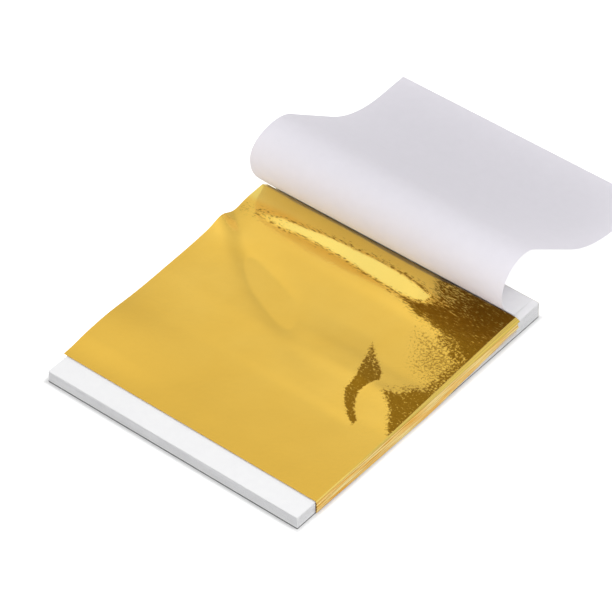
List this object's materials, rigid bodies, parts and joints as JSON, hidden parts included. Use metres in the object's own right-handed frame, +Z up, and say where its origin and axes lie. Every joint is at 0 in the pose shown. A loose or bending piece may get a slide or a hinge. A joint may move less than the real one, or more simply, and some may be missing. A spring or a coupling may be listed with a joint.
{
  "type": "gold leaf booklet",
  "caption": "Glued pad of thin white pages with a loose square gold leaf on each page; the top page is turned back in a curl over the binding.",
  "frame": {"origin": "centre of the underside of the backing card, which lies on the table", "axes": "+X to the right across the pad, +Y from the fore-edge towards the glued spine, +Z up"},
  "size_m": [0.1463, 0.2588, 0.0436],
  "materials": {
    "page_paper": "thin smooth white interleaving paper, matt, slightly see-through against light",
    "gold_leaf": "bright mirror-like metal leaf with fine wrinkles",
    "card": "plain grey board, matt",
    "glue": "thin film of dried white padding glue"
  },
  "bodies": {
    "pad": {"backing_card": "card", "spine_glue": "glue", "page_stubs": "page_paper", "page_block_1": "page_paper", "page_block_2": "page_paper", "page_block_3": "page_paper", "page_block_4": "page_paper", "page_block_5": "page_paper", "page_block_6": "page_paper", "page_block_7": "page_paper", "page_block_8": "page_paper", "page_block_9": "page_paper", "page_block_10": "page_paper", "leaf_block_1": "gold_leaf", "leaf_block_2": "gold_leaf", "leaf_block_3": "gold_leaf", "leaf_block_4": "gold_leaf", "leaf_block_5": "gold_leaf", "leaf_block_6": "gold_leaf", "leaf_block_7": "gold_leaf", "leaf_block_8": "gold_leaf", "leaf_block_9": "gold_leaf", "leaf_block_10": "gold_leaf"},
    "turned_page_1": {"turned_strip_1": "page_paper"},
    "turned_page_2": {"turned_strip_2": "page_paper"},
    "turned_page_3": {"turned_strip_3": "page_paper"},
    "turned_page_4": {"turned_strip_4": "page_paper"},
    "turned_page_5": {"turned_strip_5": "page_paper"},
    "turned_page_6": {"turned_strip_6": "page_paper"},
    "turned_page_7": {"turned_strip_7": "page_paper"},
    "turned_page_8": {"turned_strip_8": "page_paper"},
    "turned_page_9": {"turned_strip_9": "page_paper"},
    "turned_page_10": {"turned_strip_10": "page_paper"},
    "turned_page_11": {"turned_strip_11": "page_paper"},
    "page_3": {"loose_page_3": "page_paper", "loose_leaf_3": "gold_leaf"},
    "page_2": {"loose_page_2": "page_paper", "loose_leaf_2": "gold_leaf"},
    "page_1": {"loose_page_1": "page_paper"},
    "top_leaf": {"top_leaf": "gold_leaf"}
  },
  "joints": [
    {"name": "page_turn", "type": "hinge", "parent": "pad", "child": "turned_page_1", "pos_m": [-0.0035, 0.07, 0.00917], "axis": [1, 0, 0], "range_deg": [0, 48]},
    {"name": "page_crease_1", "type": "hinge", "parent": "turned_page_1", "child": "turned_page_2", "pos_m": [-0.0035, 0.06168, 0.01883], "axis": [1, 0.0019, -0.0021], "range_deg": [0, 22.77]},
    {"name": "page_crease_2", "type": "hinge", "parent": "turned_page_2", "child": "turned_page_3", "pos_m": [-0.0035, 0.05977, 0.02504], "axis": [1, 0.0029, -0.0054], "range_deg": [0, 22.77]},
    {"name": "page_crease_3", "type": "hinge", "parent": "turned_page_3", "child": "turned_page_4", "pos_m": [-0.00351, 0.06053, 0.0315], "axis": [0.9999, 0.0023, -0.0099], "range_deg": [0, 22.77]},
    {"name": "page_crease_4", "type": "hinge", "parent": "turned_page_4", "child": "turned_page_5", "pos_m": [-0.00353, 0.06382, 0.0371], "axis": [0.9999, -0.0003, -0.0144], "range_deg": [0, 22.77]},
    {"name": "page_crease_5", "type": "hinge", "parent": "turned_page_5", "child": "turned_page_6", "pos_m": [-0.00358, 0.06908, 0.04091], "axis": [0.9998, -0.0049, -0.0177], "range_deg": [0, 22.77]},
    {"name": "page_crease_6", "type": "hinge", "parent": "turned_page_6", "child": "turned_page_7", "pos_m": [-0.00366, 0.07544, 0.04229], "axis": [0.9998, -0.0104, -0.0189], "range_deg": [0, 22.77]},
    {"name": "page_crease_7", "type": "hinge", "parent": "turned_page_7", "child": "turned_page_8", "pos_m": [-0.0038, 0.0818, 0.04099], "axis": [0.9997, -0.0154, -0.0179], "range_deg": [0, 22.77]},
    {"name": "page_crease_8", "type": "hinge", "parent": "turned_page_8", "child": "turned_page_9", "pos_m": [-0.00526, 0.12144, 0.01301], "axis": [0.9997, -0.0166, -0.017], "range_deg": [-11.84, 0]},
    {"name": "page_crease_9", "type": "hinge", "parent": "turned_page_9", "child": "turned_page_10", "pos_m": [-0.00563, 0.13494, 0.00731], "axis": [0.9997, -0.0056, -0.0217], "range_deg": [-11.84, 0]},
    {"name": "page_crease_10", "type": "hinge", "parent": "turned_page_10", "child": "turned_page_11", "pos_m": [-0.00593, 0.14936, 0.00463], "axis": [0.9997, 0.0064, -0.0239], "range_deg": [-11.84, 0]},
    {"name": "page_3_lift", "type": "hinge", "parent": "pad", "child": "page_3", "pos_m": [0, 0.07, 0.00815], "axis": [1, 0, 0], "range_deg": [-15, 0]},
    {"name": "page_2_lift", "type": "hinge", "parent": "page_3", "child": "page_2", "pos_m": [0, 0.07, 0.00823], "axis": [1, 0, 0], "range_deg": [-15, 0]},
    {"name": "page_1_lift", "type": "hinge", "parent": "page_2", "child": "page_1", "pos_m": [0, 0.07, 0.00831], "axis": [1, 0, 0], "range_deg": [-15, 0]},
    {"name": "leaf_draw", "type": "slide", "parent": "page_1", "child": "top_leaf", "axis": [0, -0.9999, -0.013], "range_m": [0, 0.16]}
  ],
  "couplings": [
    {"joint": "page_crease_1", "follows": "page_turn", "ratio": 0.47429},
    {"joint": "page_crease_2", "follows": "page_turn", "ratio": 0.47429},
    {"joint": "page_crease_3", "follows": "page_turn", "ratio": 0.47429},
    {"joint": "page_crease_4", "follows": "page_turn", "ratio": 0.47429},
    {"joint": "page_crease_5", "follows": "page_turn", "ratio": 0.47429},
    {"joint": "page_crease_6", "follows": "page_turn", "ratio": 0.47429},
    {"joint": "page_crease_7", "follows": "page_turn", "ratio": 0.47429},
    {"joint": "page_crease_8", "follows": "page_turn", "ratio": -0.24667},
    {"joint": "page_crease_9", "follows": "page_turn", "ratio": -0.24667},
    {"joint": "page_crease_10", "follows": "page_turn", "ratio": -0.24667}
  ]
}
